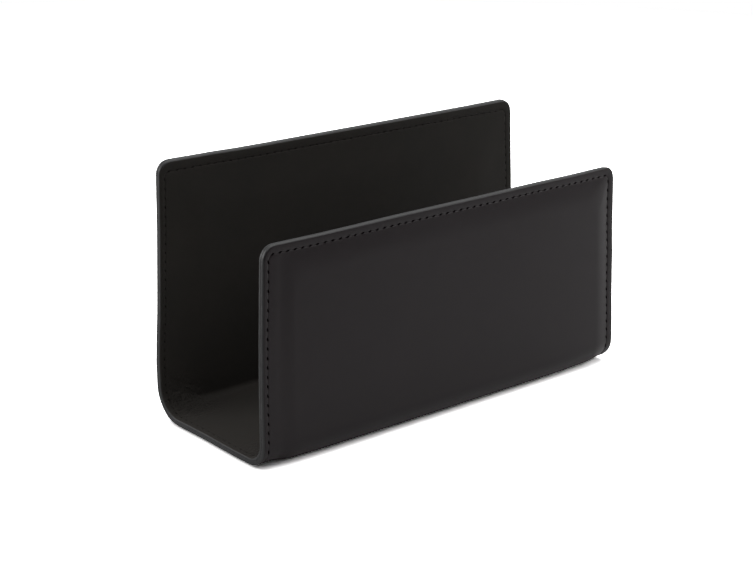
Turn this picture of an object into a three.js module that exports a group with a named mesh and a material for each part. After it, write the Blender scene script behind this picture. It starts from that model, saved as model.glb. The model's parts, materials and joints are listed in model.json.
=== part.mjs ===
// A desk letter holder in black leather, open at both ends and at the top.
//
// A steel plate bent into a U stiffens it. An outer cover and an inner lining, both of thick leather,
// lie on the plate's two faces, meet each other round its edge, and are sewn together there with a
// lockstitch: one thread runs along the outside of the seam and the other along the inside.
//
// Sizes are in millimetres. X runs along the holder, +Y points to the tall back wall, +Z is up, and
// the origin is under the middle of the base, on the surface that the holder stands on.

import * as THREE from "three";

// Overall sizes: the length and depth over the leather, and the height of each wall's top edge
const holderLength = 218;
const holderDepth = 82.5;
const frontHeight = 101;
const backHeight = 122;

// The U's shape: both walls lean in a little, and the bends are measured to the middle of the plate
const frontLeanDegrees = 2;
const backLeanDegrees = 1;
const frontBendRadius = 9;
const backBendRadius = 13.5;

// Leather, plate, and the line of adhesive between each pair of layers
const leatherThickness = 1.85;
const plateThickness = 1.5;
const adhesiveLine = 0.3;

// Outlines of the leather and of the plate inside it
const leatherCornerRadius = 7;
const leastCornerRadius = 0.6;
const leatherEdgeRounding = 0.6;
const plateInset = 12;
const plateCornerRadius = 8;

// The seam, the channel pressed along it, and its two threads
const seamInset = 3;
const seamChannelDepth = 0.7;
const seamChannelWallWidth = 0.3;
const threadDiameter = 0.8;
const threadClearance = 0.3;
const seamToSlope = 0.6;

// How finely curves are cut
const cornerSteps = 5;
const bendSteps = 8;
const roundingSteps = 2;
const slopeSteps = 5;
const threadSides = 8;
const sameAngle = 1e-6;

// Distances from the middle surface of the sandwich, which runs through the middle of the plate
const gluedFaceOverPlate = plateThickness / 2 + adhesiveLine;
const gluedFaceAtBorder = adhesiveLine / 2;
const outsideOverPlate = gluedFaceOverPlate + leatherThickness;
const outsideAtBorder = gluedFaceAtBorder + leatherThickness;

// Where the channel and the slope up to the raised panel begin and end, in from the leather's edge
const channelHalfWidth = threadDiameter / 2 + threadClearance;
const channelEdge = channelHalfWidth + seamChannelWallWidth;
const slopeStart = seamInset + channelEdge + seamToSlope;
const slopeEnd = plateInset - adhesiveLine;

// The middle line of the U seen from its end. Its distance s is counted down the back wall, along the
// base and up the front wall, and its normal points out of the U.
function makeProfile() {
  const frontLean = THREE.MathUtils.degToRad(frontLeanDegrees);
  const backLean = THREE.MathUtils.degToRad(backLeanDegrees);
  const quarter = Math.PI / 2;
  const backCentre = [holderDepth / 2 - outsideOverPlate - backBendRadius, outsideOverPlate + backBendRadius];
  const frontCentre = [-holderDepth / 2 + outsideOverPlate + frontBendRadius, outsideOverPlate + frontBendRadius];
  const wallLength = (height, centre, radius, lean) =>
    (height - centre[1] - radius * Math.sin(lean)) / Math.cos(lean);
  const runs = [
    { straight: wallLength(backHeight, backCentre, backBendRadius, backLean), normal: backLean },
    { centre: backCentre, radius: backBendRadius, from: backLean, to: -quarter },
    { straight: backCentre[0] - frontCentre[0], normal: -quarter },
    { centre: frontCentre, radius: frontBendRadius, from: -quarter, to: -2 * quarter - frontLean },
    { straight: wallLength(frontHeight, frontCentre, frontBendRadius, frontLean), normal: -2 * quarter - frontLean },
  ];

  let start = 0;
  for (const run of runs) {
    run.start = start;
    run.length = run.straight ?? run.radius * (run.from - run.to);
    start += run.length;
  }
  const ending = (bend, angle) => [
    bend.centre[0] + bend.radius * Math.cos(angle),
    bend.centre[1] + bend.radius * Math.sin(angle),
  ];
  runs[0].end = ending(runs[1], runs[1].from);
  runs[2].end = ending(runs[3], runs[3].from);
  runs[4].begin = ending(runs[3], runs[3].to);

  // The point of the middle line at a distance along it, and its normal, both in the YZ plane
  function at(s) {
    const run = runs.find((r) => s <= r.start + r.length) ?? runs[runs.length - 1];
    const along = s - run.start;
    if (run.radius) {
      const angle = run.from - along / run.radius;
      return { point: ending(run, angle), normal: [Math.cos(angle), Math.sin(angle)] };
    }
    const normal = [Math.cos(run.normal), Math.sin(run.normal)];
    const heading = [normal[1], -normal[0]];
    const base = run.begin ?? run.end;
    const travel = run.begin ? along : along - run.length;
    return { point: [base[0] + heading[0] * travel, base[1] + heading[1] * travel], normal };
  }

  // A cut at each end of each bend, at the bend's widest point, and evenly between
  const cuts = [];
  for (const bend of [runs[1], runs[3]]) {
    const upright = bend === runs[1] ? 0 : -2 * quarter;
    const level = -quarter;
    const angles = [bend.from, bend.to];
    for (let i = 0; i <= bendSteps; i++) {
      angles.push(level + ((upright - level) * i) / bendSteps);
    }
    angles.sort((a, b) => b - a);
    const kept = angles.filter((angle, i) => i === 0 || angles[i - 1] - angle > sameAngle);
    cuts.push(...kept.map((angle) => bend.start + (bend.from - angle) * bend.radius));
  }
  return { at, cuts, total: start };
}

const profile = makeProfile();

// A place on the flat pattern, across it (x) and along it (s), carried onto the bent holder at a
// distance from the middle surface
function onHolder(x, s, offset) {
  const { point, normal } = profile.at(s);
  return new THREE.Vector3(x, point[0] + normal[0] * offset, point[1] + normal[1] * offset);
}

// One closed loop on the flat pattern: a rectangle with round corners, in from the leather's edge by
// the given inset. It runs up the right side and back down the left.
function loopOnPattern(inset, radius) {
  const right = [];
  const side = holderLength / 2 - inset;
  for (let i = 0; i <= cornerSteps; i++) {
    const angle = (i / cornerSteps) * (Math.PI / 2);
    right.push([side - radius * (1 - Math.sin(angle)), inset + radius * (1 - Math.cos(angle))]);
  }
  const corner = right.map(([x, s]) => [x, profile.total - s]).reverse();
  right.push(...profile.cuts.map((s) => [side, s]), ...corner);
  const left = right.map(([x, s]) => [-x, s]).reverse();
  return [...right, ...left];
}

// The leather's outline, and every line at one distance inside it, turns its corners round one centre
const concentric = (inset) => Math.max(leatherCornerRadius - inset, leastCornerRadius);

// A closed sheet between two stacks of rings. Each stack starts at the sheet's outline and works in,
// the first on the face away from the inside of the U and the second on the face towards it.
function sheetGeometry(outwardRings, inwardRings) {
  const positions = [];
  const triangles = [];
  const addRing = ({ inset, radius, offset }) => {
    const first = positions.length / 3;
    const loop = loopOnPattern(inset, radius);
    for (const [x, s] of loop) positions.push(...onHolder(x, s, offset).toArray());
    return loop.map((_, i) => first + i);
  };
  const quad = (a, b, c, d) => triangles.push(a, b, c, a, c, d);
  const band = (from, to) => {
    from.forEach((_, i) => {
      const next = (i + 1) % from.length;
      quad(from[i], from[next], to[next], to[i]);
    });
  };
  // Straight rungs from the right side to the left close the middle, where the sheet is flat across
  const ladder = (ring) => {
    const last = ring.length - 1;
    for (let i = 0; i < ring.length / 2 - 1; i++) quad(ring[i], ring[i + 1], ring[last - i - 1], ring[last - i]);
  };

  const outward = outwardRings.map(addRing);
  const inward = inwardRings.map(addRing);
  outward.slice(1).forEach((ring, i) => band(outward[i], ring));
  ladder(outward[outward.length - 1]);
  inward.slice(1).forEach((ring, i) => band(ring, inward[i]));
  ladder([...inward[inward.length - 1]].reverse());
  band(inward[0], outward[0]);

  const geometry = new THREE.BufferGeometry();
  geometry.setAttribute("position", new THREE.Float32BufferAttribute(positions, 3));
  geometry.setIndex(triangles);
  return geometry;
}

// Rings from the border up to the panel that the plate raises, for a face that is at borderOffset
// outside the slope and at panelOffset inside it
function slopeRings(borderOffset, panelOffset) {
  const rings = [];
  for (let i = 0; i <= slopeSteps; i++) {
    const share = i / slopeSteps;
    const rise = share * share * (3 - 2 * share);
    rings.push({
      inset: THREE.MathUtils.lerp(slopeStart, slopeEnd, share),
      radius: THREE.MathUtils.lerp(concentric(slopeStart), plateCornerRadius + adhesiveLine, share),
      offset: THREE.MathUtils.lerp(borderOffset, panelOffset, rise),
    });
  }
  return rings;
}

// Rings round a leather sheet's visible face: its rounded edge, the seam channel, and the slope
function visibleFaceRings(side) {
  const border = side * outsideAtBorder;
  const channelFloor = side * (outsideAtBorder - seamChannelDepth);
  const ring = (inset, offset) => ({ inset, radius: concentric(inset), offset });
  const rings = [];
  for (let i = 0; i <= roundingSteps; i++) {
    const angle = (i / roundingSteps) * (Math.PI / 2);
    const inset = leatherEdgeRounding * (1 - Math.cos(angle));
    rings.push(ring(inset, border - side * leatherEdgeRounding * (1 - Math.sin(angle))));
  }
  rings.push(ring(seamInset - channelEdge, border));
  rings.push(ring(seamInset - channelHalfWidth, channelFloor));
  rings.push(ring(seamInset + channelHalfWidth, channelFloor));
  rings.push(ring(seamInset + channelEdge, border));
  rings.push(...slopeRings(border, side * outsideOverPlate));
  return rings;
}

// Rings round a leather sheet's glued face, which lies on the plate and on the other sheet's border
function gluedFaceRings(side) {
  const border = side * gluedFaceAtBorder;
  return [
    { inset: 0, radius: concentric(0), offset: border },
    ...slopeRings(border, side * gluedFaceOverPlate),
  ];
}

function plateGeometry() {
  const ring = (offset) => ({ inset: plateInset, radius: plateCornerRadius, offset });
  return sheetGeometry([ring(plateThickness / 2)], [ring(-plateThickness / 2)]);
}

// A thread lying in the seam channel: one closed tube that follows the seam all the way round
function threadGeometry(side) {
  const radius = threadDiameter / 2;
  const offset = side * (outsideAtBorder - seamChannelDepth + threadClearance + radius);
  const loop = loopOnPattern(seamInset, concentric(seamInset));
  const line = loop.map(([x, s]) => onHolder(x, s, offset));
  const positions = [];
  const triangles = [];
  loop.forEach(([, s], i) => {
    const before = line[(i + line.length - 1) % line.length];
    const after = line[(i + 1) % line.length];
    const heading = after.clone().sub(before).normalize();
    const { normal } = profile.at(s);
    const outward = new THREE.Vector3(0, normal[0], normal[1]);
    const across = heading.clone().cross(outward);
    const first = i * threadSides;
    const nextRing = ((i + 1) % line.length) * threadSides;
    for (let k = 0; k < threadSides; k++) {
      const angle = (k / threadSides) * 2 * Math.PI;
      const place = line[i]
        .clone()
        .addScaledVector(outward, radius * Math.cos(angle))
        .addScaledVector(across, radius * Math.sin(angle));
      positions.push(...place.toArray());
      const beside = (k + 1) % threadSides;
      triangles.push(first + k, first + beside, nextRing + beside);
      triangles.push(first + k, nextRing + beside, nextRing + k);
    }
  });
  const geometry = new THREE.BufferGeometry();
  geometry.setAttribute("position", new THREE.Float32BufferAttribute(positions, 3));
  geometry.setIndex(triangles);
  return geometry;
}

const blackLeather = new THREE.MeshStandardMaterial({ color: "#262425", roughness: 0.52, metalness: 0 });
const liningLeather = new THREE.MeshStandardMaterial({ color: "#1d1b1a", roughness: 0.62, metalness: 0 });
const mildSteel = new THREE.MeshStandardMaterial({ color: "#8d9093", roughness: 0.45, metalness: 1 });
const waxedThread = new THREE.MeshStandardMaterial({ color: "#151415", roughness: 0.5, metalness: 0 });

const letterHolder = new THREE.Group();

function addPart(name, geometry, material) {
  geometry.computeVertexNormals();
  const mesh = new THREE.Mesh(geometry, material);
  mesh.name = name;
  letterHolder.add(mesh);
}

addPart("outer_cover", sheetGeometry(visibleFaceRings(1), gluedFaceRings(1)), blackLeather);
addPart("inner_lining", sheetGeometry(gluedFaceRings(-1), visibleFaceRings(-1)), liningLeather);
addPart("core_plate", plateGeometry(), mildSteel);
addPart("outer_thread", threadGeometry(1), waxedThread);
addPart("inner_thread", threadGeometry(-1), waxedThread);

export default letterHolder;
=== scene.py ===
# %% [markdown]
# # A letter holder in black leather
#
# The real object is a sandwich. A steel plate bent into a U lies between two thick leathers, which
# meet round its edge and are sewn together there. The leathers are cut flat, pressed, pricked and
# only then bent, and this script works in the same order: every piece is modelled flat on the bench
# and then bent round one U-shaped curve. Flat work is easy to measure, and one curve for all the
# pieces keeps every layer at its right distance from the next.

# %% Load the model that gives every piece its place
import json
import math

import bpy
from mathutils import Matrix, Vector

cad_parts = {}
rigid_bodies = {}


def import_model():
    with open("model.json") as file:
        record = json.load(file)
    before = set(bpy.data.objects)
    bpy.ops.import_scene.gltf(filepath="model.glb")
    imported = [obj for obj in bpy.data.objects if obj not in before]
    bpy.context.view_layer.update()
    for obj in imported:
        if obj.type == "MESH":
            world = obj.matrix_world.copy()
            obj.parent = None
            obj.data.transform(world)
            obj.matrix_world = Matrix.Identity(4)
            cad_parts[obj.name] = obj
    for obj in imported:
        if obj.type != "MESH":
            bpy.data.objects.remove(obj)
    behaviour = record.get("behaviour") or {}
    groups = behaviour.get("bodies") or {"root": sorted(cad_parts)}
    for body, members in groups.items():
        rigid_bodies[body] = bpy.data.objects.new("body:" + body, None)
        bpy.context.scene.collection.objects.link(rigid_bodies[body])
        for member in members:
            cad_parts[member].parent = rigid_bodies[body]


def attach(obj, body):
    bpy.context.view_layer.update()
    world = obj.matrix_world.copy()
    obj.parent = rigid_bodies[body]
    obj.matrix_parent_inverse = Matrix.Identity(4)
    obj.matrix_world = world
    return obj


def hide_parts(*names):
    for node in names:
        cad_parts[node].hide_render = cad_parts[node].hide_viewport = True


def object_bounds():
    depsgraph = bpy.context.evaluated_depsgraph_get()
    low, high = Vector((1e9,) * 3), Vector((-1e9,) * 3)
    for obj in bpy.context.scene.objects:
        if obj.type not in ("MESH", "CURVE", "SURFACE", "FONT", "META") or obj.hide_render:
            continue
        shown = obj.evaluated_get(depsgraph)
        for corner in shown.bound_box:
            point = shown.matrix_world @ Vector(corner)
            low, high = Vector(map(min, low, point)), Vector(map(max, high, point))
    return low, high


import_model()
cad_low, cad_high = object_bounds()
print("model box in millimetres:", [round(1000 * side, 1) for side in cad_high - cad_low])

# %% [markdown]
# ## Sizes
#
# Blender works in metres here, so each size in millimetres is multiplied by `MM`. The length and the
# depth come from the model. The other driving sizes repeat those that the model was made with: two
# leathers with a plate between them in the middle, and the two leathers alone at the border, where
# they are glued face to face.

# %% Sizes of the holder
MM = 0.001

LENGTH = cad_high.x - cad_low.x
DEPTH = cad_high.y - cad_low.y
FRONT_HEIGHT = 101 * MM
BACK_HEIGHT = 122 * MM
FRONT_LEAN = math.radians(2)
BACK_LEAN = math.radians(1)
FRONT_BEND = 9 * MM
BACK_BEND = 13.5 * MM

LEATHER = 1.85 * MM
PLATE = 1.5 * MM
GLUE_OVER_PLATE = 0.3 * MM
GLUE_AT_BORDER = 0.04 * MM
PANEL_FACE = PLATE / 2 + GLUE_OVER_PLATE + LEATHER
BORDER_FACE = 1.85 * MM
print("thickness over the plate:", round(2 * PANEL_FACE / MM, 2), "mm")
print("thickness at the border:", round(2 * BORDER_FACE / MM, 2), "mm")

# %% [markdown]
# ## The curve that everything is bent round
#
# Seen from its end, the holder is a U with two different bends. A polyline of short steps down the
# back wall, round the first bend, along the base, round the second bend and up the front wall is the
# middle line of the whole sandwich. A Curve modifier will carry a flat piece onto it: the piece's X
# runs along the line, its Y across the holder, and its Z straight out of the U.

# %% Draw the bending curve
QUARTER = math.pi / 2
STEP = 1 * MM


def along_line(start, end):
    """Points every STEP from start towards end, without the end itself."""
    count = max(1, round((end - start).length / STEP))
    return [start.lerp(end, i / count) for i in range(count)]


def along_bend(centre, radius, start, end):
    """Points every STEP round a bend in the YZ plane, without the last one."""
    count = max(1, round(radius * (start - end) / STEP))
    angles = [start + (end - start) * i / count for i in range(count)]
    return [centre + radius * Vector((0, math.cos(a), math.sin(a))) for a in angles]


def on_bend(centre, radius, angle):
    return centre + radius * Vector((0, math.cos(angle), math.sin(angle)))


back_centre = Vector((0, DEPTH / 2 - PANEL_FACE - BACK_BEND, PANEL_FACE + BACK_BEND))
front_centre = Vector((0, -DEPTH / 2 + PANEL_FACE + FRONT_BEND, PANEL_FACE + FRONT_BEND))
back_wall_end = on_bend(back_centre, BACK_BEND, BACK_LEAN)
front_wall_start = on_bend(front_centre, FRONT_BEND, -2 * QUARTER - FRONT_LEAN)
back_top = back_wall_end + Vector((0, -math.tan(BACK_LEAN), 1)) * (BACK_HEIGHT - back_wall_end.z)
front_top = front_wall_start + Vector((0, math.tan(FRONT_LEAN), 1)) * (FRONT_HEIGHT - front_wall_start.z)

middle_line = (
    along_line(back_top, back_wall_end)
    + along_bend(back_centre, BACK_BEND, BACK_LEAN, -QUARTER)
    + along_line(on_bend(back_centre, BACK_BEND, -QUARTER), on_bend(front_centre, FRONT_BEND, -QUARTER))
    + along_bend(front_centre, FRONT_BEND, -QUARTER, -2 * QUARTER - FRONT_LEAN)
    + along_line(front_wall_start, front_top)
    + [front_top]
)

path_data = bpy.data.curves.new("bending_line", "CURVE")
path_data.dimensions = "3D"
path_data.twist_mode = "MINIMUM"
spline = path_data.splines.new("POLY")
spline.points.add(len(middle_line) - 1)
for point, place in zip(spline.points, middle_line):
    point.co = (*place, 1)
bending_line = bpy.data.objects.new("bending_line", path_data)
bpy.context.scene.collection.objects.link(bending_line)

BACK_WALL = (back_top - back_wall_end).length
BACK_ARC = BACK_BEND * (BACK_LEAN + QUARTER)
BASE = back_centre.y - front_centre.y
FRONT_ARC = FRONT_BEND * (QUARTER + FRONT_LEAN)
FRONT_WALL = (front_top - front_wall_start).length
FLAT = BACK_WALL + BACK_ARC + BASE + FRONT_ARC + FRONT_WALL
print("flat leather, in millimetres:", round(FLAT / MM, 1), "by", round(LENGTH / MM, 1))

# %% [markdown]
# ## A flat sheet as a stack of outlines
#
# A pressed leather is a set of outlines, one inside the other, each at its own height: the painted
# edge, the groove that the seam lies in, and the soft slope up to the panel that the plate raises. By
# hand each outline is a plane whose four corners are bevelled round. Bridging one outline to the next
# makes the skin between them, and a face closes the middle of each side. Two outlines in one plane
# can bridge with a twist, so the stack is first drawn as a tower, and let down to its real heights
# when all of it is bridged. The sheet can then be cut across wherever it has to bend.

# %% Draw one outline
CORNER_STEPS = 8
RING = 4 * (CORNER_STEPS + 1)
print("points in one outline:", RING)


def deselect_all():
    if bpy.context.mode != "OBJECT":
        bpy.ops.object.mode_set(mode="OBJECT")
    bpy.ops.object.select_all(action="DESELECT")


def outline(margins, radius, height, painted=0):
    """One outline of a sheet: its margins from the leather's edge, its corner radius and its height.

    The margins are those at the back top, the front top, the left end and the right end. The outline
    is painted nowhere (0), along the two top edges only (1), or all round (2).
    """
    return {"margins": margins, "radius": radius, "height": height, "painted": painted}


def add_outline(ring, level):
    """Adds a rounded rectangle of edges, at the level given, to the mesh that is being edited."""
    at_back, at_front, at_left, at_right = ring["margins"]
    centre = ((FLAT + at_back - at_front) / 2, (at_right - at_left) / 2, level)
    size = (FLAT - at_back - at_front, LENGTH - at_left - at_right, 1)
    bpy.ops.mesh.primitive_plane_add(size=1, location=centre)
    bpy.ops.transform.resize(value=size, center_override=centre)
    bpy.ops.mesh.bevel(
        affect="VERTICES",
        offset_type="OFFSET",
        offset=ring["radius"],
        segments=CORNER_STEPS,
        profile=0.5,
        clamp_overlap=False,
    )
    bpy.ops.mesh.delete(type="ONLY_FACE")


# %% [markdown]
# In edit mode an operator acts on what is selected. One helper selects the points of the outlines
# that the next bridge or face belongs to. They are found by their index, because each outline adds the
# same number of points. Another helper cuts the finished sheet straight across.

# %% Select and cut


def select_outlines(piece, first, count):
    """Selects, in edit mode, the points of a count of outlines, from the first one given."""
    bpy.ops.mesh.select_all(action="DESELECT")
    bpy.ops.object.mode_set(mode="OBJECT")
    for vertex in piece.data.vertices:
        vertex.select = first <= vertex.index // RING < first + count
    bpy.ops.object.mode_set(mode="EDIT")
    bpy.ops.mesh.select_mode(type="VERT")


def cut_across(places, direction):
    """Cuts the whole sheet at each place along X or Y."""
    for place in places:
        bpy.ops.mesh.select_all(action="SELECT")
        bpy.ops.mesh.bisect(plane_co=direction * place, plane_no=direction)


# %% [markdown]
# The sheet gets two material slots from the start, and the second one is for the edge paint. A face is
# painted where all the outlines that it touches are, and within a narrow strip along the two ends
# those have to be outlines that are painted all round.

# %% Make a closed sheet
TOWER_STEP = 10 * MM
END_STRIP = 2 * MM


def flat_sheet(name, rings, across, along):
    """A closed flat sheet through all the outlines, cut at the places given."""
    deselect_all()
    bpy.ops.mesh.primitive_plane_add(size=1)
    piece = bpy.context.object
    piece.name = name
    piece.data.materials.append(None)
    piece.data.materials.append(None)
    bpy.ops.object.mode_set(mode="EDIT")
    bpy.ops.mesh.select_all(action="SELECT")
    bpy.ops.mesh.delete(type="VERT")
    for i, ring in enumerate(rings):
        add_outline(ring, i * TOWER_STEP)
    for i in range(len(rings) - 1):
        select_outlines(piece, i, 2)
        bpy.ops.mesh.bridge_edge_loops()
    for i in (0, len(rings) - 1):
        select_outlines(piece, i, 1)
        bpy.ops.mesh.edge_face_add()
    bpy.ops.object.mode_set(mode="OBJECT")
    for i, vertex in enumerate(piece.data.vertices):
        vertex.co.z = rings[i // RING]["height"]
    for face in piece.data.polygons:
        at_end = abs(face.center.y) > LENGTH / 2 - END_STRIP
        face.material_index = all(rings[i // RING]["painted"] > at_end for i in face.vertices)
    bpy.ops.object.mode_set(mode="EDIT")
    cut_across(across, Vector((1, 0, 0)))
    cut_across(along, Vector((0, 1, 0)))
    bpy.ops.mesh.select_all(action="SELECT")
    bpy.ops.mesh.normals_make_consistent(inside=False)
    bpy.ops.object.mode_set(mode="OBJECT")
    print(name, "flat:", len(piece.data.vertices), "vertices,", len(piece.data.polygons), "faces")
    return piece


# %% [markdown]
# The sheet is cut every 0.75 mm through the two bends, so that they come out round, and every 12 mm
# elsewhere, so that the walls can take the slight waves of hand work.

# %% Where the sheets are cut
BEND_CUT = 0.75 * MM
WALL_CUT = 12 * MM
CLEAR_OF_EDGE = 20 * MM


def steps_between(start, end, step):
    """Even places strictly between start and end, no further than step apart."""
    count = math.ceil((end - start) / step)
    return [start + (end - start) * i / count for i in range(1, count)]


back_bend_start = BACK_WALL
front_bend_start = BACK_WALL + BACK_ARC + BASE
cuts_across = (
    steps_between(CLEAR_OF_EDGE, back_bend_start - BEND_CUT, WALL_CUT)
    + steps_between(back_bend_start - BEND_CUT, back_bend_start + BACK_ARC + BEND_CUT, BEND_CUT)
    + steps_between(back_bend_start + BACK_ARC + BEND_CUT, front_bend_start - BEND_CUT, WALL_CUT)
    + steps_between(front_bend_start - BEND_CUT, front_bend_start + FRONT_ARC + BEND_CUT, BEND_CUT)
    + steps_between(front_bend_start + FRONT_ARC + BEND_CUT, FLAT - CLEAR_OF_EDGE, WALL_CUT)
)
cuts_along = steps_between(CLEAR_OF_EDGE - LENGTH / 2, LENGTH / 2 - CLEAR_OF_EDGE, WALL_CUT)
print("cuts:", len(cuts_across), "across,", len(cuts_along), "along")

# %% [markdown]
# ## The pressed leather's outlines
#
# From the edge inwards, a sewn border has a rounded and painted edge, a narrow flat, a shallow groove
# for the thread, a second flat, and then a slope. The slope is soft because thick leather can't turn
# sharply over the plate's edge. Along the two top edges and at the right end the seam pulls the
# leather down hard, so there the slope starts with a crease beside the seam. At the left end it is a
# long, soft S. On the inside the slope is soft all round and reaches further.
#
# Each slope's start and end are distances from the leather's edge, in the order of an outline's
# margins. A creased slope follows a quarter of a wave: it leaves the border at a clear angle and comes
# level at the panel. A soft one follows an S, and is level at both of its ends.

# %% Describe the slope
SLOPE_START = (5.6 * MM, 4.6 * MM, 8.2 * MM, 5.2 * MM)
SLOPE_END = (16 * MM, 16 * MM, 17 * MM, 13.5 * MM)
LINING_SLOPE_END = (26 * MM, 24 * MM, 26 * MM, 26 * MM)
CREASED = (True, True, False, True)
SOFT = (False, False, False, False)
SLOPE_STEPS = 10
SLOPE_CORNER = 2.4 * MM
PANEL_CORNER = 9 * MM


def eased(share):
    """A share from 0 to 1, on a soft S."""
    return share * share * (3 - 2 * share)


def slope_outlines(border, panel, ends, creased):
    """Outlines from the border's height up to the panel's, creased by the seam or on a soft S."""
    rings = []
    for i in range(SLOPE_STEPS + 1):
        share = i / SLOPE_STEPS
        rise = eased(share)
        reach = [math.asin(rise) / QUARTER if crease else share for crease in creased]
        margins = tuple(a + (b - a) * r for a, b, r in zip(SLOPE_START, ends, reach))
        radius = SLOPE_CORNER + (PANEL_CORNER - SLOPE_CORNER) * share
        rings.append(outline(margins, radius, border + (panel - border) * rise))
    return rings


# %% [markdown]
# The cut edge is sanded round, and the paint on it laps a little onto the rounding. On the lining it
# stops earlier at the two ends than along the two top edges, so the rim of the lining is mostly bare
# leather there. A rounding is given by how far it reaches inwards, how far it reaches down, and the
# angle at which its paint stops at the two ends.

# %% Describe the edge
CORNER_RADIUS = 7 * MM
LEAST_RADIUS = 0.6 * MM
COVER_EDGE_ROUND = (0.9 * MM, 0.9 * MM, math.radians(65))
LINING_EDGE_ROUND = (1.3 * MM, 1 * MM, math.radians(40))
JOINT_ROUND = (0.15 * MM, 0.15 * MM, QUARTER)
ROUND_STEPS = 6
TOP_PAINT_ENDS = math.radians(65)


def border_outline(inset, height, painted):
    return outline((inset,) * 4, max(CORNER_RADIUS - inset, LEAST_RADIUS), height, painted)


def edge_outlines(face, rounding, turn):
    """Outlines round a quarter of an ellipse, from the edge to a face that looks up (1) or down (-1)."""
    inwards, down, end_paint_ends = rounding
    rings = []
    for i in range(ROUND_STEPS + 1):
        angle = QUARTER * i / ROUND_STEPS
        height = face - turn * down * (1 - math.sin(angle))
        painted = (angle < TOP_PAINT_ENDS) + (angle < end_paint_ends)
        rings.append(border_outline(inwards * (1 - math.cos(angle)), height, painted))
    return rings


# %% [markdown]
# The seam lies in a shallow groove, so that the thread is kept from wear. On the real holder the
# groove was run along the border by eye, and it keeps a different distance from each of the four
# edges. The two leathers follow from these helpers. Only their visible faces have a groove, and their
# glued faces run from the joint in the edge straight to the slope.

# %% Describe the groove and make the two leathers
SEAM_INSETS = (4.8 * MM, 3.8 * MM, 2.6 * MM, 4.4 * MM)
SEAM_CORNER = 3.2 * MM
GROOVE_HALF = 0.7 * MM
GROOVE_DEPTH = 0.2 * MM
GROOVE_STEPS = 6


def visible_outlines(edge_round, ends, creased):
    """Outlines of a leather's visible face, from its edge to its panel."""
    rings = edge_outlines(BORDER_FACE, edge_round, 1)
    for i in range(GROOVE_STEPS + 1):
        share = 2 * i / GROOVE_STEPS - 1
        depth = GROOVE_DEPTH * (0.5 + 0.5 * math.cos(math.pi * share))
        margins = tuple(inset + GROOVE_HALF * share for inset in SEAM_INSETS)
        rings.append(outline(margins, SEAM_CORNER - GROOVE_HALF * share, BORDER_FACE - depth))
    return rings + slope_outlines(BORDER_FACE, PANEL_FACE, ends, creased)


def glued_outlines():
    """Outlines of a leather's glued face, from its edge to its panel."""
    face = GLUE_AT_BORDER / 2
    rings = edge_outlines(face, JOINT_ROUND, -1)
    return rings + slope_outlines(face, PANEL_FACE - LEATHER, SLOPE_END, CREASED)


def leather_outlines(side, edge_round, ends, creased):
    """All the outlines of one leather, whose visible face is at +Z for side 1 and at -Z for side -1."""
    rings = list(reversed(visible_outlines(edge_round, ends, creased))) + glued_outlines()
    for ring in rings:
        ring["height"] *= side
    return rings


cover_outlines = leather_outlines(1, COVER_EDGE_ROUND, SLOPE_END, CREASED)
lining_outlines = leather_outlines(-1, LINING_EDGE_ROUND, LINING_SLOPE_END, SOFT)
outer_cover = flat_sheet("black_hide_cover", cover_outlines, cuts_across, cuts_along)
inner_lining = flat_sheet("black_hide_lining", lining_outlines, cuts_across, cuts_along)

# %% [markdown]
# ## The stiffening plate
#
# The plate is hidden, but it is why the walls stand and why the panels are raised, so it is made too:
# mild steel sheet with its corners rounded and its edges broken.

# %% Make the plate flat
PLATE_GAP = 0.5 * MM
PLATE_CORNER = 8 * MM
PLATE_EDGE_BREAK = 0.2 * MM

plate_margins = tuple(end + PLATE_GAP for end in SLOPE_END)
plate_in = tuple(margin + PLATE_EDGE_BREAK for margin in plate_margins)
plate_rings = [
    outline(plate_in, PLATE_CORNER, PLATE / 2),
    outline(plate_margins, PLATE_CORNER, PLATE / 2 - PLATE_EDGE_BREAK),
    outline(plate_margins, PLATE_CORNER, PLATE_EDGE_BREAK - PLATE / 2),
    outline(plate_in, PLATE_CORNER, -PLATE / 2),
]
steel_plate = flat_sheet("bent_steel_plate", plate_rings, cuts_across, cuts_along)

# %% [markdown]
# ## The line of the seam
#
# The seam runs along the groove all the way round, and turns each corner on a small radius. The
# stitches are 4.2 mm long, about six to the inch, and the pitch is eased so that a whole number of
# them closes the line. A function gives the place and the heading at any distance along the seam.

# %% Measure the seam
STITCH = 4.2 * MM

at_back, at_front, at_left, at_right = (inset + SEAM_CORNER for inset in SEAM_INSETS)
seam_corners = [
    Vector((FLAT - at_front, at_right - LENGTH / 2)),
    Vector((FLAT - at_front, LENGTH / 2 - at_left)),
    Vector((at_back, LENGTH / 2 - at_left)),
    Vector((at_back, at_right - LENGTH / 2)),
]
seam_run = FLAT - at_back - at_front
seam_rise = LENGTH - at_left - at_right
corner_arc = QUARTER * SEAM_CORNER
seam_length = 2 * (seam_run + seam_rise) + 4 * corner_arc
stitch_count = round(seam_length / STITCH)
pitch = seam_length / stitch_count


def seam_place(distance):
    """The place and heading of the seam at a distance along it, on the flat sheet."""
    distance %= seam_length
    for i, centre in enumerate(seam_corners):
        run = seam_rise if i % 2 else seam_run
        heading = i * QUARTER
        forward = Vector((math.cos(heading), math.sin(heading)))
        outward = Vector((forward.y, -forward.x))
        if distance <= run:
            return centre + outward * SEAM_CORNER - forward * (run - distance), heading
        distance -= run
        if distance <= corner_arc:
            turn = distance / SEAM_CORNER
            spoke = outward * math.cos(turn) + forward * math.sin(turn)
            return centre + spoke * SEAM_CORNER, heading + turn
        distance -= corner_arc


print("seam:", round(seam_length / MM), "mm,", stitch_count, "stitches of", round(pitch / MM, 2), "mm")

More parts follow.
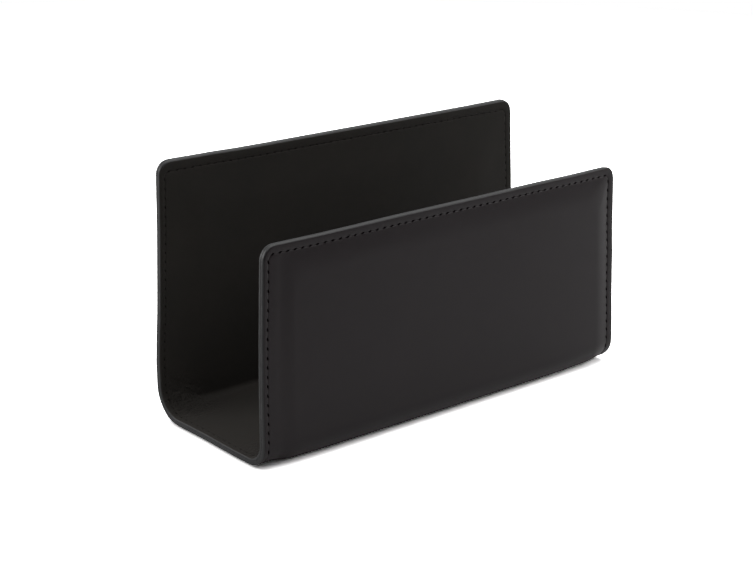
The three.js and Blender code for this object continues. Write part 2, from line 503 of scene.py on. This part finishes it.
# %% [markdown]
# ## Copying along the seam
#
# The holes and the stitches repeat all the way round, so each is modelled once, standing at the origin
# with the seam along X. A small tool or stitch is then copied to every pitch of the seam, its mesh
# turned along the seam and set on the groove's floor, and all the copies are joined into one object.
# On the lining's side each copy is turned over first.

# %% Copy one small thing to every stitch


def choose(pieces):
    """Selects these pieces alone and makes the first one active."""
    deselect_all()
    for piece in pieces:
        piece.select_set(True)
    bpy.context.view_layer.objects.active = pieces[0]


def copy_along_seam(tool, side, shift):
    """Copies a thing to every pitch of the seam on one side, shifted by a share of the pitch."""
    turned_over = Matrix.Rotation(math.pi, 4, "X") if side < 0 else Matrix.Identity(4)
    floor = side * (BORDER_FACE - GROOVE_DEPTH)
    copies = []
    for i in range(stitch_count):
        place, heading = seam_place((i + shift) * pitch)
        copy = tool.copy()
        copy.data = tool.data.copy()
        turned = Matrix.Rotation(heading, 4, "Z") @ turned_over
        copy.data.transform(Matrix.Translation((place.x, place.y, floor)) @ turned)
        bpy.context.scene.collection.objects.link(copy)
        copies.append(copy)
    bpy.data.objects.remove(tool)
    choose(copies)
    bpy.ops.object.join()
    return bpy.context.object


# %% [markdown]
# ## Pricking the holes
#
# Before sewing, an awl opens a hole for each stitch. It is a flat awl held aslant, so every hole is a
# short slanting slit, smaller on the lining's side, where only the tip comes through. One awl tip is
# modelled, copied along the seam, and cut out of the leather with a Boolean modifier. A hole is given
# by its length along the seam and its width. The cut leaves a few faces with next to no area, and
# these are dissolved.

# %% Prick both leathers
COVER_HOLE = (2.9 * MM, 1.2 * MM)
LINING_HOLE = (2.4 * MM, 0.7 * MM)
HOLE_DEEP = 0.75 * MM
HOLE_SLANT = math.radians(14)
AWL_SIDES = 8
AWL_TAPER = 0.45
SLIVER = 0.001 * MM


def awl_tip(length, width):
    """The part of the awl that enters the leather, its middle at the groove's floor."""
    deselect_all()
    bpy.ops.mesh.primitive_cone_add(
        vertices=AWL_SIDES,
        radius1=AWL_TAPER * length / 2,
        radius2=length / 2,
        depth=2 * HOLE_DEEP,
    )
    tip = bpy.context.object
    bpy.ops.object.mode_set(mode="EDIT")
    bpy.ops.mesh.select_all(action="SELECT")
    bpy.ops.transform.resize(value=(1, width / length, 1), center_override=(0, 0, 0))
    bpy.ops.object.mode_set(mode="OBJECT")
    tip.data.transform(Matrix.Rotation(HOLE_SLANT, 4, "Z"))
    return tip


def apply_modifier(piece, name):
    choose([piece])
    bpy.ops.object.modifier_apply(modifier=name)


def prick(leather, side, hole):
    """Cuts a hole for every stitch into the visible face of one leather."""
    awls = copy_along_seam(awl_tip(*hole), side, 0)
    cut = leather.modifiers.new("prick", "BOOLEAN")
    cut.operation = "DIFFERENCE"
    cut.solver = "EXACT"
    cut.object = awls
    apply_modifier(leather, "prick")
    bpy.data.objects.remove(awls)
    bpy.ops.object.mode_set(mode="EDIT")
    bpy.ops.mesh.select_all(action="SELECT")
    bpy.ops.mesh.dissolve_degenerate(threshold=SLIVER)
    bpy.ops.object.mode_set(mode="OBJECT")
    print(leather.name, "pricked:", len(leather.data.polygons), "faces")


prick(outer_cover, 1, COVER_HOLE)
prick(inner_lining, -1, LINING_HOLE)

# %% [markdown]
# ## The stitches
#
# On each face a stitch is a short arch of waxed thread: it comes up out of one hole, lies along the
# groove and goes down the next hole. It is a disc that is extruded, and spun round at each end, and it
# lies aslant, because the thread leaves each hole on one side of the slit and enters the next on the
# other side. Its sides are few, because there are hundreds of stitches and each is under a millimetre
# thick.

# %% Model the stitch and sew both faces
THREAD = 0.62 * MM
THREAD_SIDES = 6
STITCH_SLANT = math.radians(9)
STITCH_RISE = -0.08 * MM
TURN_RADIUS = 0.55 * THREAD
MERGE = THREAD / 100
DIVE = 0.8 * MM
BODY_STEPS = 2
DIVE_STEPS = 2


def lead(along, up):
    """Draws the thread's selected end on, along the seam or up out of the leather."""
    bpy.ops.mesh.extrude_region_move(TRANSFORM_OT_translate={"value": (along, 0, up)})


def turn_down(along, height):
    """Turns the thread's selected end by a quarter, towards the leather, round a point."""
    bpy.ops.mesh.spin(steps=DIVE_STEPS, angle=QUARTER, center=(along, 0, height), axis=(0, 1, 0))


def one_stitch(hole):
    """A thread that comes up at one hole and goes down at the next, half a pitch to each side."""
    reach = (pitch - hole[0]) / 2
    turn_height = THREAD / 2 + STITCH_RISE - TURN_RADIUS
    deselect_all()
    bpy.ops.mesh.primitive_circle_add(
        vertices=THREAD_SIDES,
        radius=THREAD / 2,
        fill_type="NGON",
        location=(-reach - TURN_RADIUS, 0, turn_height - DIVE),
    )
    stitch = bpy.context.object
    bpy.ops.object.mode_set(mode="EDIT")
    bpy.ops.mesh.select_all(action="SELECT")
    lead(0, DIVE)
    turn_down(-reach, turn_height)
    for i in range(BODY_STEPS):
        lead(2 * reach / BODY_STEPS, 0)
    turn_down(reach, turn_height)
    lead(0, -DIVE)
    bpy.ops.mesh.select_all(action="SELECT")
    bpy.ops.mesh.remove_doubles(threshold=MERGE)
    bpy.ops.mesh.normals_make_consistent(inside=False)
    bpy.ops.object.mode_set(mode="OBJECT")
    stitch.data.transform(stitch.matrix_world)
    stitch.matrix_world = Matrix.Identity(4)
    stitch.data.transform(Matrix.Rotation(STITCH_SLANT, 4, "Z"))
    return stitch


def sew(name, side, hole):
    """Lays a stitch between each two holes on one face of the seam."""
    seam = copy_along_seam(one_stitch(hole), side, 0.5)
    seam.name = name
    print(name, "sewn:", len(seam.data.polygons), "faces")
    return seam


outer_thread = sew("waxed_thread_outside", 1, COVER_HOLE)
inner_thread = sew("waxed_thread_inside", -1, LINING_HOLE)

# %% [markdown]
# ## Pressing the bends
#
# Over the plate the bends are tight, because the plate was folded in a press, while the leather beyond
# its two ends is free to take a rounder bend. Inside, this shows as a sharp line between the wall and
# the floor that fades out near the ends. A modifier can't bend one sheet in two ways at once, so the
# curve gives the rounder bend. Each vertex over the plate is then carried, by its angle round that
# bend, to its place on the tight one.

# %% Press the bends over the plate
PRESSED_BACK = 5.6 * MM
PRESSED_FRONT = 7.3 * MM
LOOSE_END = 7 * MM
PRESSED_BEYOND = 26 * MM
BENDS = (
    (back_centre, BACK_BEND, PRESSED_BACK, BACK_LEAN, -QUARTER),
    (front_centre, FRONT_BEND, PRESSED_FRONT, -QUARTER, -2 * QUARTER - FRONT_LEAN),
)


def pressed(place, centre, radius, tight, start, end):
    """Where a place on a loose bend, which turns from start to end, comes to lie on a tight one."""
    arm = place - centre
    arm.x = 0
    turned = (start - math.atan2(arm.z, arm.y)) % (4 * QUARTER)
    span = start - end
    if turned > span:
        return place
    straight = (radius - tight) * math.tan(span / 2)
    along = turned / span * (2 * straight + tight * span)
    rounded = min(max((along - straight) / tight, 0), span)
    slid = along - straight - tight * rounded
    fold = on_bend(centre, (radius - tight) / math.cos(span / 2), start - span / 2)
    place_on_fold = on_bend(fold, tight + arm.length - radius, start - rounded)
    onwards = on_bend(Vector(), slid, start - rounded - QUARTER)
    return Vector((place.x, 0, 0)) + place_on_fold + onwards


def press_bends(piece):
    """Tightens both bends of a piece, more and more from its ends towards the plate."""
    for vertex in piece.data.vertices:
        inside = (LENGTH / 2 - abs(vertex.co.x) - LOOSE_END) / (PRESSED_BEYOND - LOOSE_END)
        share = eased(min(max(inside, 0), 1))
        if share == 0:
            continue
        for bend_sizes in BENDS:
            vertex.co = vertex.co.lerp(pressed(vertex.co, *bend_sizes), share)


# %% [markdown]
# ## Bending the sandwich
#
# All the layers are now bent round the same curve. Hand work leaves slight waves in the walls, and
# every layer follows them together, so the same broad, shallow displacement goes over each piece.
#
# The corners were cut by eye, and the right-hand end spreads a little towards the base. Each of
# these is a soft pull: a Warp modifier carries what lies near one empty over to a second one, less
# and less towards the end of its reach, and the same pulls go over all the layers. A pull is written
# as its place, its move and its reach, all in millimetres. The middle of a wall lies about 3 mm inside
# the box of the holder.

# %% List the pulls
WALL_MIDDLE = 3
END = LENGTH / MM / 2
BACK = DEPTH / MM / 2 - WALL_MIDDLE
PULLS = {
    "front right corner": ((END - 1.5, -BACK, 99.5), (0.2, 0, 1.0), 9),
    "front top edge, right": ((END - 12, -BACK, 101), (0, 0, 0.4), 16),
    "front top edge, middle": ((60, -BACK, 101), (0, 0, 0.3), 45),
    "front top edge, left": ((24 - END, -BACK, 101), (0, 0, -0.5), 60),
    "front wall's left end, high": ((-END, -BACK, 95), (1.15, 0, 0), 36),
    "front wall's left end, low": ((-END, -BACK, 30), (-0.9, 0, 0), 48),
    "back right corner": ((END - 2, BACK, 120), (0.3, 0, 0.5), 11),
    "back top edge, left": ((22 - END, BACK, 122), (0, 0, 0.5), 30),
    "front wall's right end, middle": ((END, -BACK, 60), (0.7, 0, 0), 25),
    "back wall's left end, low": ((-END, BACK, 30), (-0.8, 0, 0), 26),
    "back left corner": ((2 - END, BACK, 120), (-0.6, 0, 0.6), 11),
    "back wall's right end": ((END, BACK, 60), (4.5, 0, 0), 66),
    "front wall's right end": ((END, -BACK, 8), (2.4, 0, 0), 66),
    "base's right end": ((END, 20, 0), (3.4, 0, 0), 55),
    "base's left end": ((-END, -22, 0), (-0.9, 0, 0), 34),
    "back wall's left end": ((-END, BACK, 50), (-0.3, 0, 0), 60),
    "back wall's left end, high": ((-END, BACK, 85), (0.25, 0, 0), 55),
}
print("pulls:", len(PULLS))

# %% Bend and ease every piece
WAVE_HEIGHT = 0.6 * MM
WAVE_SIZE = 70 * MM

hand_waves = bpy.data.textures.new("hand_waves", "CLOUDS")
hand_waves.noise_scale = WAVE_SIZE
hand_waves.noise_depth = 0


def empty_at(place):
    empty = bpy.data.objects.new("pull_point", None)
    empty.location = place
    bpy.context.scene.collection.objects.link(empty)
    bpy.context.view_layer.update()
    return empty


def bend(piece):
    """Bends a flat piece round the curve, presses its bends, and gives it the waves and the pulls."""
    curve = piece.modifiers.new("bend", "CURVE")
    curve.object = bending_line
    curve.deform_axis = "POS_X"
    apply_modifier(piece, "bend")
    press_bends(piece)
    waves = piece.modifiers.new("waves", "DISPLACE")
    waves.texture = hand_waves
    waves.texture_coords = "GLOBAL"
    waves.direction = "Y"
    waves.strength = WAVE_HEIGHT
    waves.mid_level = 0.5
    apply_modifier(piece, "waves")
    for place, move, reach in PULLS.values():
        pull = piece.modifiers.new("pull", "WARP")
        pull.object_from = empty_at(Vector(place) * MM)
        pull.object_to = empty_at((Vector(place) + Vector(move)) * MM)
        pull.falloff_type = "SMOOTH"
        pull.falloff_radius = reach * MM
        apply_modifier(piece, "pull")
    print(piece.name, "bent:", [round(side / MM, 1) for side in piece.dimensions], "mm")


holder_pieces = [outer_cover, inner_lining, steel_plate, outer_thread, inner_thread]
for piece in holder_pieces:
    bend(piece)
for helper in [bending_line] + [o for o in bpy.data.objects if o.name.startswith("pull_point")]:
    bpy.data.objects.remove(helper)

# %% [markdown]
# Leather and thread are soft forms, so neighbouring faces are shaded as one surface. Only where they
# meet at a clear angle, as at an awl's hole or at the joint in the edge, does the shading break.

# %% Shade smooth where the surface is smooth
SHARP = math.radians(38)

for piece in holder_pieces:
    choose([piece])
    bpy.ops.object.shade_smooth_by_angle(angle=SHARP)
print("pieces shaded smooth:", len(holder_pieces))

# %% [markdown]
# ## Finishes
#
# Every finish is a material made of nodes. Colours are written as hex sRGB, as a colour picker gives
# them, and one function turns them into the linear values that Blender works in. Patterns read Object
# coordinates, which here are metres on the finished holder, so the scale of a pattern is one divided
# by its real size.

# %% Colour and node helpers


def srgb(code):
    """The linear colour that a hex sRGB colour stands for."""
    channels = [int(code[i : i + 2], 16) / 255 for i in (1, 3, 5)]
    return [c / 12.92 if c <= 0.04045 else ((c + 0.055) / 1.055) ** 2.4 for c in channels] + [1]


def add_node(material, kind, settings=None, inputs=None):
    """Adds a node. Settings go on the node, and inputs are values or sockets to link from."""
    node = material.node_tree.nodes.new(kind)
    for name, value in (settings or {}).items():
        setattr(node, name, value)
    for name, value in (inputs or {}).items():
        if isinstance(value, bpy.types.NodeSocket):
            material.node_tree.links.new(value, node.inputs[name])
        else:
            node.inputs[name].default_value = value
    return node


def new_material(name):
    material = bpy.data.materials.new(name)
    material.use_nodes = True
    material.node_tree.nodes.clear()
    return material


# %% [markdown]
# Near its two ends, the sharp fold inside the back bend runs out into the round one, and the lining
# has to take up the difference: it crumples into small folds there. A noise pattern makes the folds,
# and its strength fades with the distance from either end's centre.

# %% Crumple the leather near the ends of the fold
CREASE = 3 * MM
CREASE_CURL = 1.5
CREASED_AT = Vector((END - 10, 33, 8)) * MM
CREASES_END = 22 * MM


def crumpled(material, place, depth):
    """The surface's normal where small folds run out round both ends of the back bend."""
    either_end = add_node(material, "ShaderNodeVectorMath", {"operation": "ABSOLUTE"}, {0: place})
    away = add_node(
        material,
        "ShaderNodeVectorMath",
        {"operation": "DISTANCE"},
        {0: either_end.outputs["Vector"], 1: CREASED_AT},
    )
    creased = add_node(
        material,
        "ShaderNodeMapRange",
        {"interpolation_type": "SMOOTHSTEP"},
        {"Value": away.outputs["Value"], "From Min": CREASES_END, "From Max": 0, "To Min": 0, "To Max": 1},
    )
    pattern = {"Vector": place, "Scale": 1 / CREASE, "Distortion": CREASE_CURL}
    creases = add_node(material, "ShaderNodeTexNoise", {}, pattern)
    relief = {
        "Height": creases.outputs["Fac"],
        "Strength": creased.outputs["Result"],
        "Distance": depth,
    }
    return add_node(material, "ShaderNodeBump", {}, relief).outputs["Normal"]


# %% [markdown]
# The cover is full-grain cowhide, dyed through and finished with a thin matt wax. Its pores are too
# fine to see one by one, so they only roughen the surface. They are drawn 0.45 mm wide, coarser than
# real ones, so that they still show at all. Broader soft patches come from the hide itself. The eye
# gets an even, satin black with hardly any highlight.
#
# The Mix node has several sockets of the same name, one for each kind of value, so its two colours
# and its result are reached by their numbers.

# %% Make the cover's leather
LEATHER_IOR = 1.4
PORE = 0.45 * MM
HIDE_PATCH = 22 * MM
FIRST_COLOUR, SECOND_COLOUR, MIXED_COLOUR = 6, 7, 2


def leather_material(name, dark, light, roughness, pore_depth, crease_depth=0):
    """Dyed cowhide: soft patches in its tone, felt pores, and small folds where it is crumpled."""
    material = new_material(name)
    place = add_node(material, "ShaderNodeTexCoord").outputs["Object"]
    patches = add_node(material, "ShaderNodeTexNoise", {}, {"Vector": place, "Scale": 1 / HIDE_PATCH})
    tones = {
        "Factor": patches.outputs["Fac"],
        FIRST_COLOUR: srgb(dark),
        SECOND_COLOUR: srgb(light),
    }
    colour = add_node(material, "ShaderNodeMix", {"data_type": "RGBA"}, tones)
    pores = add_node(material, "ShaderNodeTexVoronoi", {}, {"Vector": place, "Scale": 1 / PORE})
    relief = {"Height": pores.outputs["Distance"], "Strength": 1.0, "Distance": pore_depth}
    if crease_depth:
        relief["Normal"] = crumpled(material, place, crease_depth)
    bump = add_node(material, "ShaderNodeBump", {}, relief)
    shader = add_node(
        material,
        "ShaderNodeBsdfPrincipled",
        {},
        {
            "Base Color": colour.outputs[MIXED_COLOUR],
            "Roughness": roughness,
            "IOR": LEATHER_IOR,
            "Normal": bump.outputs["Normal"],
        },
    )
    add_node(material, "ShaderNodeOutputMaterial", {}, {"Surface": shader.outputs["BSDF"]})
    return material


smooth_cowhide = leather_material(
    "smooth_black_cowhide",
    dark="#191114",
    light="#1d1518",
    roughness=0.4,
    pore_depth=0.008 * MM,
)
print("nodes in the cover's leather:", len(smooth_cowhide.node_tree.nodes))

# %% [markdown]
# The lining is the same kind of hide with its face left unwaxed. It scatters light more, so it looks
# flatter and a little browner than the cover, and it keeps a fine nap that breaks up reflections. Only
# the lining is crumpled near the ends of the fold.

# %% Make the lining's leather
dull_cowhide = leather_material(
    "unwaxed_black_cowhide",
    dark="#211f1c",
    light="#282420",
    roughness=0.85,
    pore_depth=0.03 * MM,
    crease_depth=2 * MM,
)
print("nodes in the lining's leather:", len(dull_cowhide.node_tree.nodes))

# %% [markdown]
# The cut edges are sanded round and painted with several coats of black edge paint. It dries to a
# smooth, slightly wavy satin gloss, so an edge that faces a lamp shows as a pale line, and it is the
# brightest part of the holder.

# %% Make the edge paint
COATING_IOR = 1.5
PAINT_WAVE = 4 * MM


def coated_material(name, colour, roughness, grain, depth):
    """A coat of paint or wax in one colour, with a gentle unevenness of the grain and depth given."""
    material = new_material(name)
    place = add_node(material, "ShaderNodeTexCoord").outputs["Object"]
    waves = add_node(material, "ShaderNodeTexNoise", {}, {"Vector": place, "Scale": 1 / grain})
    bump = add_node(
        material,
        "ShaderNodeBump",
        {},
        {"Height": waves.outputs["Fac"], "Strength": 1.0, "Distance": depth},
    )
    shader = add_node(
        material,
        "ShaderNodeBsdfPrincipled",
        {},
        {
            "Base Color": srgb(colour),
            "Roughness": roughness,
            "IOR": COATING_IOR,
            "Normal": bump.outputs["Normal"],
        },
    )
    add_node(material, "ShaderNodeOutputMaterial", {}, {"Surface": shader.outputs["BSDF"]})
    return material


edge_paint = coated_material(
    "black_edge_paint", colour="#1c1c1d", roughness=0.42, grain=PAINT_WAVE, depth=0.4 * MM
)
print("nodes in the edge paint:", len(edge_paint.node_tree.nodes))

# %% [markdown]
# The thread is twisted polyester drawn through black wax. The wax fills the twist and dries dull, so
# the eye gets a row of dark, nearly matt stitches in the groove, with a small slit at each end. The
# plate is plain mild steel sheet with its rolled finish, which would show as a dull grey if the
# leather were open.

# %% Make the thread and the steel
THREAD_GRAIN = 0.3 * MM
STEEL_ROUGHNESS = 0.45

waxed_thread = coated_material(
    "waxed_polyester_thread", colour="#171616", roughness=0.58, grain=THREAD_GRAIN, depth=0.05 * MM
)

mild_steel = new_material("mild_steel_sheet")
rolled = add_node(
    mild_steel,
    "ShaderNodeBsdfPrincipled",
    {},
    {"Base Color": srgb("#9a9b9c"), "Metallic": 1.0, "Roughness": STEEL_ROUGHNESS},
)
add_node(mild_steel, "ShaderNodeOutputMaterial", {}, {"Surface": rolled.outputs["BSDF"]})

# %% [markdown]
# A leather keeps both of its slots, the hide first and the paint second. A thread and the plate have
# one slot each.

# %% Put the finishes on the pieces


def set_materials(piece, *materials):
    """Puts the first material on the faces and the second one, if there is one, on the painted edge."""
    while len(piece.data.materials) < len(materials):
        piece.data.materials.append(None)
    while len(piece.data.materials) > len(materials):
        piece.data.materials.pop()
    for i, material in enumerate(materials):
        piece.data.materials[i] = material


set_materials(outer_cover, smooth_cowhide, edge_paint)
set_materials(inner_lining, dull_cowhide, edge_paint)
set_materials(outer_thread, waxed_thread)
set_materials(inner_thread, waxed_thread)
set_materials(steel_plate, mild_steel)
for leather in (outer_cover, inner_lining):
    print("painted faces:", leather.name, sum(face.material_index for face in leather.data.polygons))

# %% [markdown]
# Each finished piece takes the place of one node of the model and rides on the same body, and the
# finish slot that its colour belongs to is listed beside it. The holder is one rigid body, so
# everything rides on its root.

# %% Tie every piece to the frame
for piece, node, slot in (
    (outer_cover, "outer_cover", "outer_leather"),
    (inner_lining, "inner_lining", "lining_leather"),
    (steel_plate, "core_plate", "core_steel"),
    (outer_thread, "outer_thread", "seam_thread"),
    (inner_thread, "inner_thread", "seam_thread"),
):
    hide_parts(node)
    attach(piece, "root")

# %% [markdown]
# ## Camera, table and light
#
# The camera stands where the photograph was taken from. Its direction, distance, roll and focal length
# were found by fitting the outline of the holder to the photograph, and it looks at a point inside the
# holder, near its middle.

# %% Set the camera where the photograph was taken from
IMAGE_WIDTH = 753
FOCAL_PIXELS = 1828.5
SENSOR_WIDTH = 36
CAMERA_AZIMUTH = math.radians(-41.64)
CAMERA_ELEVATION = math.radians(18.06)
CAMERA_ROLL = math.radians(1.06)
CAMERA_DISTANCE = 864 * MM
CAMERA_AIM = Vector((-6.9, 5.7, 54.1)) * MM

back = Vector(
    (
        math.sin(CAMERA_AZIMUTH) * math.cos(CAMERA_ELEVATION),
        -math.cos(CAMERA_AZIMUTH) * math.cos(CAMERA_ELEVATION),
        math.sin(CAMERA_ELEVATION),
    )
)
camera_data = bpy.data.cameras.new("camera")
camera_data.sensor_width = SENSOR_WIDTH
camera_data.lens = FOCAL_PIXELS * SENSOR_WIDTH / IMAGE_WIDTH
camera = bpy.data.objects.new("camera", camera_data)
bpy.context.scene.collection.objects.link(camera)
turn = back.to_track_quat("Z", "Y").to_matrix().to_4x4() @ Matrix.Rotation(CAMERA_ROLL, 4, "Z")
camera.matrix_world = Matrix.Translation(CAMERA_AIM + back * CAMERA_DISTANCE) @ turn
bpy.context.scene.camera = camera
print("focal length:", round(camera_data.lens, 1), "mm")

# %% [markdown]
# The table and the room are white for the camera. In plain light they light the holder no more than
# ordinary white paper and a dim white room do, but in mirrored rays both are painted brighter in
# places: a painted reflection. The Light Path node tells what kind of ray has met a surface, so one
# material can be three: one for plain scattered light, one for rays that were mirrored by the holder
# or went through it, and one for the camera itself.

# %% Pick a shader by the kind of ray


def by_ray(material, plain, mirrored, seen):
    """One shader for plain light, another one for mirrored rays, and a third one for the camera."""
    ray = add_node(material, "ShaderNodeLightPath").outputs
    bounced = add_node(
        material,
        "ShaderNodeMath",
        {"operation": "MAXIMUM"},
        {0: ray["Is Glossy Ray"], 1: ray["Is Transmission Ray"]},
    )
    mirror = {"Fac": bounced.outputs["Value"], 1: plain, 2: mirrored}
    lit = add_node(material, "ShaderNodeMixShader", {}, mirror)
    either = {"Fac": ray["Is Camera Ray"], 1: lit.outputs["Shader"], 2: seen}
    return add_node(material, "ShaderNodeMixShader", {}, either).outputs["Shader"]


# %% [markdown]
# The table is a round sheet of matt white paper. The camera sees it well overexposed, so it comes out
# as plain white and only the narrow gap under the leather stays dark. In mirrored rays it is a painted
# reflection: about as bright as the paper on the camera's side, and painted far brighter than paper
# towards the far side. This painted sheen shows on the slopes that face right, and leaves the front
# wall dark.

# %% Lay the white table
TABLE_RADIUS = 1.15
TABLE_SIDES = 64
TABLE_EXPOSURE = 3.7
# Painted reflection of the table: its brightness in mirrored rays, from the camera's side to the far side.
PAINTED_TABLE_REFLECTION = (0.79, 2.3)
PAINTED_SHEEN_SIDE = (0.6, 0.8, 0)
PAINTED_SHEEN_FROM_TO = (-0.09, 0.42)

deselect_all()
bpy.ops.mesh.primitive_circle_add(vertices=TABLE_SIDES, radius=TABLE_RADIUS, fill_type="NGON")
table_top = bpy.context.object
table_top.name = "white_table"

paper = new_material("matt_white_paper")
across = add_node(
    paper,
    "ShaderNodeVectorMath",
    {"operation": "DOT_PRODUCT"},
    {0: add_node(paper, "ShaderNodeTexCoord").outputs["Object"], 1: PAINTED_SHEEN_SIDE},
)
# The table's painted reflection, graded brighter towards the far side.
mirrored = add_node(
    paper,
    "ShaderNodeMapRange",
    {"interpolation_type": "SMOOTHSTEP"},
    {
        "Value": across.outputs["Value"],
        "From Min": PAINTED_SHEEN_FROM_TO[0],
        "From Max": PAINTED_SHEEN_FROM_TO[1],
        "To Min": PAINTED_TABLE_REFLECTION[0],
        "To Max": PAINTED_TABLE_REFLECTION[1],
    },
)
papers = [
    add_node(paper, "ShaderNodeBsdfDiffuse", {}, {"Color": colour}).outputs["BSDF"]
    for colour in (srgb("#f0f0f0"), mirrored.outputs["Result"], [TABLE_EXPOSURE] * 3 + [1])
]
add_node(paper, "ShaderNodeOutputMaterial", {}, {"Surface": by_ray(paper, *papers)})
table_top.data.materials.append(paper)

# %% [markdown]
# The room is a world that throws only a dim light of its own. The camera sees it as white. In mirrored
# rays it is a painted reflection: painted pale on the backdrop's side, far brighter than the dim light
# that it throws, and nearly dark behind the camera.

# %% Light the room
ROOM_LIGHT = 0.11
# Painted reflection of the room: its brightness in mirrored rays, from behind the camera to the backdrop's
# side.
PAINTED_ROOM_REFLECTION_BEHIND_CAMERA = 0.05
PAINTED_ROOM_REFLECTION_AT_BACKDROP = 0.7
PAINTED_ROOM_REFLECTION_FROM_TO = (-0.5, 0.4)
BACKDROP_SIDE = (0.3, 0.95, 0)

room = bpy.data.worlds.new("white_room")
bpy.context.scene.world = room
room.use_nodes = True
room.node_tree.nodes.clear()
towards_backdrop = add_node(
    room,
    "ShaderNodeVectorMath",
    {"operation": "DOT_PRODUCT"},
    {0: add_node(room, "ShaderNodeTexCoord").outputs["Generated"], 1: BACKDROP_SIDE},
)
# The room's painted reflection, graded brighter towards the backdrop's side.
painted_room_reflection = add_node(
    room,
    "ShaderNodeMapRange",
    {"interpolation_type": "SMOOTHSTEP"},
    {
        "Value": towards_backdrop.outputs["Value"],
        "From Min": PAINTED_ROOM_REFLECTION_FROM_TO[0],
        "From Max": PAINTED_ROOM_REFLECTION_FROM_TO[1],
        "To Min": PAINTED_ROOM_REFLECTION_BEHIND_CAMERA,
        "To Max": PAINTED_ROOM_REFLECTION_AT_BACKDROP,
    },
)
white = srgb("#ffffff")
rooms = [
    add_node(room, "ShaderNodeBackground", {}, {"Color": white, "Strength": light}).outputs["Background"]
    for light in (ROOM_LIGHT, painted_room_reflection.outputs["Result"], 1.0)
]
add_node(room, "ShaderNodeOutputWorld", {}, {"Surface": by_ray(room, *rooms)})

# %% [markdown]
# A large softbox hangs over the table and lights the table, the floor of the holder and every edge
# that looks up. A small one stands in front at the right, for the front wall and the slope by its
# right-hand seam. Another one stands at the left and behind, and draws the pale line along the edges
# that face left. Places and sizes are in metres.

# %% Set up the softboxes


def softbox(name, place, size, watts):
    """A square lamp that faces the holder."""
    data = bpy.data.lights.new(name, "AREA")
    data.shape = "SQUARE"
    data.size = size
    data.energy = watts
    lamp = bpy.data.objects.new(name, data)
    bpy.context.scene.collection.objects.link(lamp)
    place = Vector(place)
    facing = (place - CAMERA_AIM).to_track_quat("Z", "Y").to_matrix().to_4x4()
    lamp.matrix_world = Matrix.Translation(place) @ facing


softbox("overhead_softbox", place=(0.1, -0.05, 1.0), size=1.2, watts=7.8)
softbox("right_softbox", place=(0.85, -0.62, 0.55), size=0.5, watts=2.7)
softbox("left_softbox", place=(-0.8, 0.6, 0.5), size=0.6, watts=4)
print("softboxes:", len(bpy.data.lights))

bpy.context.scene.view_settings.view_transform = "Standard"
